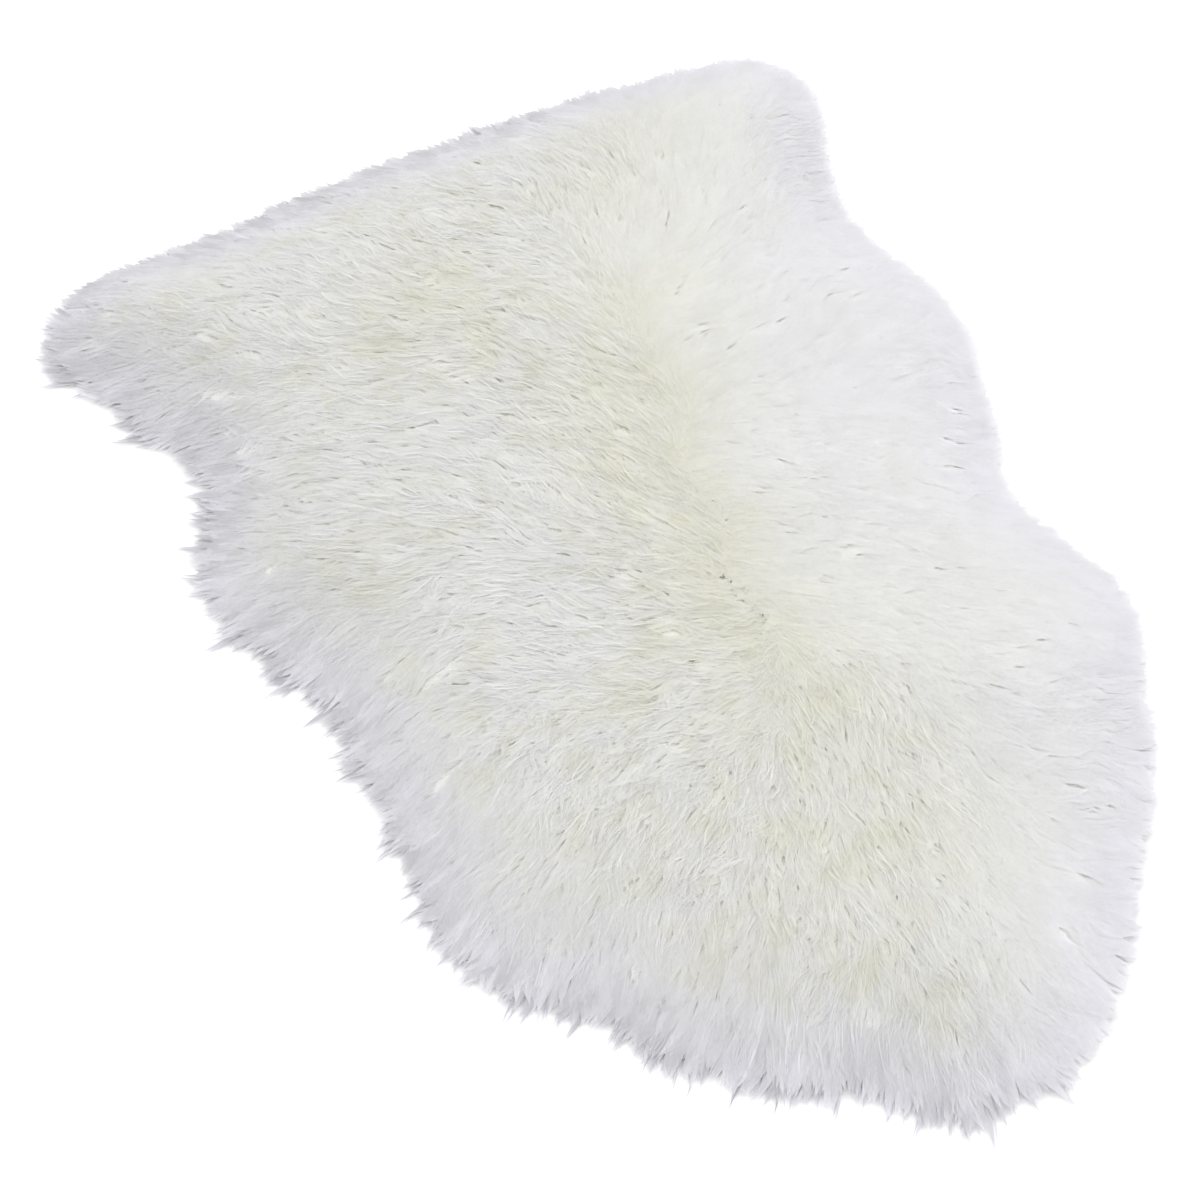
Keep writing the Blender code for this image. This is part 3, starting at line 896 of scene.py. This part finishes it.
# ---- materials
class Nodes:
    """A material's node tree, with short ways to add to it."""

    def __init__(self, name):
        self.material = bpy.data.materials.new(name)
        self.material.use_nodes = True
        self.tree = self.material.node_tree
        self.tree.nodes.clear()

    def set(self, socket, value):
        """Links the socket to another, or gives it a plain value."""
        if isinstance(value, bpy.types.NodeSocket):
            self.tree.links.new(value, socket)
        else:
            socket.default_value = value

    def add(self, kind, inputs=(), **settings):
        node = self.tree.nodes.new(kind)
        for key, value in settings.items():
            setattr(node, key, value)
        for key, value in dict(inputs).items():
            self.set(node.inputs[key], value)
        return node

    def attribute(self, name):
        return self.add("ShaderNodeAttribute", attribute_name=name).outputs["Fac"]

    def math(self, operation, a, b=0.0):
        return self.add("ShaderNodeMath", {0: a, 1: b}, operation=operation).outputs[0]

    def product(self, first, *others):
        for other in others:
            first = self.math("MULTIPLY", first, other)
        return first

    def range(self, value, low, high, to_low=0.0, to_high=1.0):
        """The value's part of the way from low to high, as a value from to_low to to_high."""
        inputs = {"Value": value, "From Min": low, "From Max": high,
                  "To Min": to_low, "To Max": to_high}
        return self.add("ShaderNodeMapRange", inputs).outputs[0]

    def mix(self, share, a, b, blend="MIX"):
        """Colour a with this share of colour b; a colour is a socket, or red, green and blue."""
        node = self.add("ShaderNodeMix", data_type="RGBA", blend_type=blend)
        for name, kind, value in (("Factor", "VALUE", share), ("A", "RGBA", a), ("B", "RGBA", b)):
            socket = next(s for s in node.inputs if s.name == name and s.type == kind)
            self.set(socket, (*value, 1.0) if isinstance(value, tuple) else value)
        return next(s for s in node.outputs if s.type == "RGBA")

    def noise(self, scale, detail, roughness, place):
        inputs = {"Scale": scale, "Detail": detail, "Roughness": roughness, "Vector": place}
        return self.add("ShaderNodeTexNoise", inputs).outputs["Fac"]

    def place(self):
        return self.add("ShaderNodeTexCoord").outputs["Object"]

    def bump(self, strength, depth, height):
        inputs = {"Strength": strength, "Distance": depth, "Height": height}
        return self.add("ShaderNodeBump", inputs).outputs[0]

    def principled(self, colour, roughness, specular, **others):
        """A plain surface; its other inputs are named with _ between their words."""
        inputs = {"Base Color": colour, "Roughness": roughness, "Specular IOR Level": specular}
        inputs.update((key.replace("_", " "), value) for key, value in others.items())
        return self.add("ShaderNodeBsdfPrincipled", inputs).outputs[0]

    def finish(self, shader):
        self.add("ShaderNodeOutputMaterial", {"Surface": shader})
        return self.material


# The wool's colours. A pair goes from plain to creamy wool, or from shade to light.
BODY_COLOURS = (0.968, 0.968, 0.980), (0.966, 0.965, 0.935)
ROOT_COLOURS = (0.93, 0.93, 0.89), (0.92, 0.915, 0.80)
# bedded bodies: darker than the strands as painted shade beneath them, and creamier as the wool's own
# tone
SHADED_BED_COLOURS = (0.930, 0.930, 0.918), (0.924, 0.919, 0.858)
RIM_COLOUR = (0.965, 0.963, 0.990)
SHADED_RIM_BED_COLOUR = (0.92, 0.92, 0.94)
EDGE_SHADE_AND_LIGHT_COLOURS = (0.795, 0.79, 0.83), (0.95, 0.95, 0.968)  # painted shade on the thin wool over the floor, turning to painted light where the wool is calm
CREVICE_COLOUR = (0.98, 0.98, 0.94)                      # multiplied with the wool's
ROOT_SHARE = 0.6
GLOW_SHARE = 0.60  # of the light goes through the wool

UNDERWOOL_COLOURS = (0.76, 0.76, 0.74), (0.76, 0.75, 0.68)
UNDERWOOL_RIM = (0.74, 0.74, 0.76)
UNDERWOOL_CLOUDS = (0.72, 0.72, 0.70)
UNDERWOOL_CURLS = (0.74, 0.74, 0.70)
UNDERWOOL_CALM = (0.78, 0.78, 0.765)

SUEDE_COLOURS = (0.71, 0.62, 0.49), (0.80, 0.73, 0.62)
SUEDE_VEINS = (0.60, 0.51, 0.39)
SUEDE_NAP = (0.86, 0.80, 0.70)
FLOOR_COLOURS = (0.93, 0.93, 0.93), (0.95, 0.95, 0.95)


def wool_material():
    n = Nodes("sheep_wool")
    place = n.place()
    along, tone_and_highlight, tuft = n.attribute("along"), n.attribute("tone_and_highlight"), n.attribute("tuft")
    rim, cream, calm = n.attribute("rim"), n.attribute("cream"), n.attribute("calm")

    # colour along the strands
    patches = n.range(n.noise(9.0, 3.0, 0.55, place), 0.35, 0.7, -0.12, 0.18)
    creamy = n.math("ADD", n.product(cream, 0.75), patches)
    body = n.mix(n.math("MAXIMUM", creamy, 0.0), *BODY_COLOURS)
    body = n.mix(n.range(rim, 0.25, 0.75), body, RIM_COLOUR)
    # painted shade at the rim's tips, turning to painted light where the wool is calm, on the side
    # towards the light
    body = n.mix(n.range(rim, 0.76, 0.98), body, n.mix(calm, *EDGE_SHADE_AND_LIGHT_COLOURS))
    root = n.mix(ROOT_SHARE, body, n.mix(cream, *ROOT_COLOURS))
    colour = n.mix(n.range(along, 0.10, 0.80), root, body)

    # the bodies of bedded locks, which show between the strands: darker, as painted shade under the
    # strands, and creamier, as the wool's own tone; less so where the wool is calm
    bed = n.mix(n.range(rim, 0.3, 0.7), n.mix(cream, *SHADED_BED_COLOURS), SHADED_RIM_BED_COLOUR)
    colour = n.mix(n.product(n.attribute("fleece"), n.range(calm, 0, 1, 0.8, 0.1)), colour, bed)

    # crevices between locks, where the wool is neither calm nor near the rim
    crevices = n.product(n.range(n.noise(34.0, 2.0, 0.5, place), 0.48, 0.66),
                         n.range(calm, 0, 0.7, 1.0, 0.0), n.range(rim, 0.3, 0.6, 1.0, 0.0),
                         n.range(along, 0.5, 1.0, 1.0, 0.35))
    colour = n.mix(crevices, colour, n.mix(1.0, colour, CREVICE_COLOUR, "MULTIPLY"))

    # lighter and darker strands, locks and streaks, and tufts that differ most at the rim; the
    # brightest strands, the guard hairs, carry a painted highlight
    fringe = n.product(n.range(rim, 0.5, 0.9), n.range(calm, 0, 0.6, 1.0, 0.0),
                       n.range(tuft, 0, 1, -0.10, 0.03))
    shade = n.product(n.range(tone_and_highlight, 0, 1, 0.965, 1.01), n.range(tuft, 0, 1, 0.98, 1.01),
                      n.range(n.noise(420.0, 2.0, 0.6, place), 0.3, 0.7, 0.98, 1.01),
                      n.math("ADD", fringe, 1.0))
    grey = n.add("ShaderNodeCombineColor", {"Red": shade, "Green": shade, "Blue": shade}).outputs[0]
    colour = n.mix(1.0, colour, grey, "MULTIPLY")

    hair = n.principled(colour, 0.62, 0.35, Sheen_Weight=0.10, Sheen_Roughness=0.5)
    glow = n.add("ShaderNodeBsdfTranslucent", {"Color": colour}).outputs[0]
    return n.finish(n.add("ShaderNodeMixShader", {0: GLOW_SHARE, 1: hair, 2: glow}).outputs[0])


def underwool_material():
    n = Nodes("sheep_underwool")
    place = n.place()
    curls = n.noise(320.0, 4.0, 0.6, place)
    clouds = n.noise(38.0, 3.0, 0.5, place)
    colour = n.mix(n.attribute("cream"), *UNDERWOOL_COLOURS)
    colour = n.mix(n.range(n.attribute("rim"), 0.3, 0.9), colour, UNDERWOOL_RIM)
    colour = n.mix(n.range(clouds, 0.3, 0.7, 0.0, 0.35), colour, UNDERWOOL_CLOUDS)
    colour = n.mix(n.range(curls, 0.35, 0.7, 0.0, 0.4), colour, UNDERWOOL_CURLS)
    colour = n.mix(n.product(n.attribute("calm"), 0.85), colour, UNDERWOOL_CALM)
    return n.finish(n.principled(colour, 0.85, 0.2, Normal=n.bump(0.7, 0.002, curls)))


def skin_material():
    n = Nodes("sheep_suede")
    place = n.place()
    nap = n.noise(900.0, 4.0, 0.65, place)
    broad = n.noise(14.0, 4.0, 0.55, place)
    veins = n.noise(60.0, 3.0, 0.6, place)
    colour = n.mix(n.range(broad, 0.32, 0.7), *SUEDE_COLOURS)
    colour = n.mix(n.range(veins, 0.52, 0.72, 0.0, 0.35), colour, SUEDE_VEINS)
    colour = n.mix(n.range(nap, 0.35, 0.7, 0.0, 0.25), colour, SUEDE_NAP)
    return n.finish(n.principled(colour, 0.9, 0.2, Sheen_Weight=0.15, Sheen_Roughness=0.5,
                                 Normal=n.bump(0.45, 0.0008, nap)))


def floor_material():
    n = Nodes("studio_floor")
    colour = n.mix(n.noise(2.0, 2.0, 0.5, n.place()), *FLOOR_COLOURS)
    return n.finish(n.principled(colour, 0.9, 0.1))


# ---- studio
WORLD_LIGHT = 1.235
KEY_LIGHT = 34.0
KEY_SIZE = 3.2
KEY_PLACE = Vector((2.6, 0.9, 2.9))
FLOOR_HALF = 12.0


def make_studio():
    mesh = bpy.data.meshes.new("studio_floor")
    far = FLOOR_HALF
    corners = [(-far, -far, 0), (far, -far, 0), (far, far, 0), (-far, far, 0)]
    mesh.from_pydata(corners, [], [(0, 1, 2, 3)])
    floor = new_object("studio_floor", mesh)
    mesh.materials.append(floor_material())

    world = bpy.data.worlds.new("studio")
    bpy.context.scene.world = world
    world.use_nodes = True
    sky = world.node_tree.nodes["Background"]
    sky.inputs["Color"].default_value = (1.0, 1.0, 1.0, 1.0)
    sky.inputs["Strength"].default_value = WORLD_LIGHT

    light = bpy.data.lights.new("key", "AREA")
    light.shape = "DISK"
    light.size = KEY_SIZE
    light.energy = KEY_LIGHT
    key = new_object("key", light)
    key.location = KEY_PLACE
    key.rotation_mode = "QUATERNION"
    key.rotation_quaternion = (-KEY_PLACE).to_track_quat("-Z", "Y")

    bpy.context.scene.view_settings.view_transform = "Standard"


# ---- the rug
# An inset is in metres, with a share of the locks' reach added; a top or a bottom is
# the height of that face inside and at its rim.
SKIN_INSET = (0.016, 0.25)
SKIN_CORNERS = 276
SKIN_PITCH = 0.012
SKIN_TOP, SKIN_BOTTOM = (0.0026, 0.0016), (0.0005, 0.0009)
WOOL_INSET = (0.001, 0.20)
WOOL_CORNERS = 368
WOOL_PITCH = 0.0072
WOOL_RIM_TOP, WOOL_BOTTOM = 0.0022, (0.0030, 0.0007)
UNDERWOOL_GAP = 0.0035             # from the wool's surface down to the underwool
UNDERWOOL_LOW = 0.45               # the share of the surface's height that it has at its rim
UNDERWOOL_BASE = (0.0030, 0.0036)  # a height of the surface, and the underwool's there
UNDERWOOL_RISE = 0.030             # over which it rises from its rim
LUMP_SIZE, LUMP_SHARE = 0.014, 0.004
WOOL_PIECES = 6

ground = Ground()
lumps = smooth_noise(ground.grid, LUMP_SIZE, 3)


def inset_outline(inset, count):
    """The rim's middle line drawn in."""
    far, share = inset
    rim = ground.rim
    return even_steps(rim.line - rim.outward * (far + share * rim.reach[:, None]), count)


def even_face(inner, at_rim):
    """A face of a layer at two heights: inside, and at its rim."""
    return lambda places, rim: np.where(rim, at_rim, inner)


def underwool_top(places, rim):
    depth, reach = ground.at("depth", places), ground.at("reach", places)
    inward = np.clip((depth + 0.05 * reach) / UNDERWOOL_RISE, 0, 1)
    share = UNDERWOOL_LOW + (1 - UNDERWOOL_LOW) * inward
    surface, base = UNDERWOOL_BASE
    top = base + share * (ground.at("height", places) - surface) - UNDERWOOL_GAP * inward
    return np.where(rim, WOOL_RIM_TOP, top * (1 + LUMP_SHARE * ground.grid.read(lumps, places)))


def make_wool_pieces():
    """The locks as joined pieces: first the rim's, then those that cover the rug."""
    field = field_locks(ground)
    rims = rim_locks(ground)
    wool = Wool(ground, {key: np.concatenate((rims[key], field[key])) for key in field})
    in_rim = wool.lock < len(rims["tip"])
    rim_pieces = max(1, round(WOOL_PIECES * in_rim.mean()))
    material = wool_material()
    pieces = []
    for kind, chosen, count in (("rim_locks", in_rim, rim_pieces),
                                ("wool_locks", ~in_rim, WOOL_PIECES - rim_pieces)):
        for k in range(count):
            strands = np.flatnonzero(chosen & (wool.lock % count == k))
            pieces.append(wool.mesh(f"{kind}_{k + 1}", strands))
            pieces[-1].data.materials.append(material)
    return pieces


make_camera()
make_studio()

outline = inset_outline(SKIN_INSET, SKIN_CORNERS)
skin = closed_layer("skin", outline, SKIN_PITCH, even_face(*SKIN_TOP), even_face(*SKIN_BOTTOM))
skin.data.materials.append(skin_material())
underwool = closed_layer("underwool", inset_outline(WOOL_INSET, WOOL_CORNERS), WOOL_PITCH,
                         underwool_top, even_face(*WOOL_BOTTOM), shared_looks)
underwool.data.materials.append(underwool_material())
wool_pieces = make_wool_pieces()

for piece in (skin, underwool, *wool_pieces):
    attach(piece, "root")
    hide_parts(NODE)
